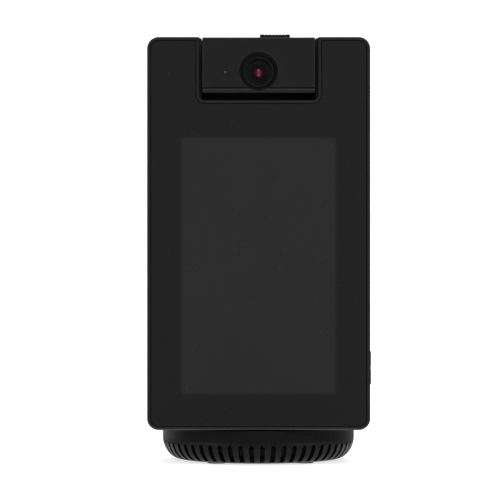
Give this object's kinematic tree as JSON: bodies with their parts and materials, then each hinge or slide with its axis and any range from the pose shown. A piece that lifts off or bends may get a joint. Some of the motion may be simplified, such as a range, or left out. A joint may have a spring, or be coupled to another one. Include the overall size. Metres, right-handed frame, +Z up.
{
  "type": "smart display",
  "caption": "Portrait smart display on a round motorised pan base, with a camera head that tilts in a notch in its top edge.",
  "frame": {"origin": "on the pan axis, on the plane that the feet rest on", "axes": "+Z up, the screen faces -Y, +X on the viewer's right"},
  "size_m": [0.0927, 0.082, 0.1787],
  "materials": {
    "black_plastic": "fine satin moulding",
    "gloss_front": "gloss, printed black behind",
    "screen": "dark, switched off",
    "lens_glass": "coated",
    "light_pipe": "frosted",
    "rubber": "matte",
    "steel": "zinc plated",
    "aluminium": "plain",
    "acetal": "natural",
    "circuit_board": "solder mask"
  },
  "bodies": {
    "base": {"base_shell": "black_plastic", "base_bottom_cover": "black_plastic", "counterweight_plate": "steel", "foot_1": "rubber", "foot_2": "rubber", "foot_3": "rubber", "foot_4": "rubber", "base_screw_1": "steel", "base_screw_2": "steel", "base_screw_3": "steel", "base_power_board": "circuit_board", "usb_socket": "steel", "usb_bezel": "black_plastic", "pan_spindle": "acetal", "pan_thrust_washer": "acetal", "pan_retaining_ring": "steel", "pan_drive_shaft": "steel"},
    "display": {"front_housing": "black_plastic", "front_glass": "gloss_front", "lcd_panel": "screen", "lcd_back_frame": "steel", "rear_shell": "black_plastic", "camera_bay": "black_plastic", "tilt_bush_left": "acetal", "tilt_bush_right": "acetal", "tilt_motor": "steel", "pan_motor": "steel", "pan_motor_bracket": "steel", "main_board": "circuit_board", "heat_spreader": "aluminium", "wifi_antenna": "circuit_board", "key_switch_board": "circuit_board", "speaker_box": "black_plastic", "speaker_driver": "steel", "rear_screw_low_left": "steel", "rear_screw_low_right": "steel", "rear_screw_high_left": "steel", "rear_screw_high_right": "steel"},
    "camera_head": {"camera_front_shell": "black_plastic", "camera_rear_shell": "black_plastic", "lens_bezel_ring": "black_plastic", "lens_glass": "lens_glass", "lens_barrel": "black_plastic", "sensor_board": "circuit_board", "status_light_pipe": "light_pipe", "tilt_pivot_pin": "steel", "tilt_drive_hub": "steel"},
    "privacy_shutter": {"shutter_knob": "black_plastic", "shutter_blade": "black_plastic"},
    "volume_key": {"side_key": "black_plastic"}
  },
  "joints": [
    {"name": "pan", "type": "hinge", "parent": "base", "child": "display", "pos_m": [0, 0, 0.0149], "axis": [0, 0, 1], "range_deg": [-170, 170]},
    {"name": "tilt", "type": "hinge", "parent": "display", "child": "camera_head", "pos_m": [0, -0.027, 0.1657], "axis": [1, 0, 0], "range_deg": [-30, 30]},
    {"name": "shutter_slide", "type": "slide", "parent": "camera_head", "child": "privacy_shutter", "axis": [-1, 0, 0], "range_m": [0, 0.0135]},
    {"name": "volume_rock", "type": "hinge", "parent": "display", "child": "volume_key", "pos_m": [0.044, -0.035, 0.0405], "axis": [0, 1, 0], "range_deg": [-2.5, 2.5], "stiffness_Nm_per_rad": 0.15}
  ]
}
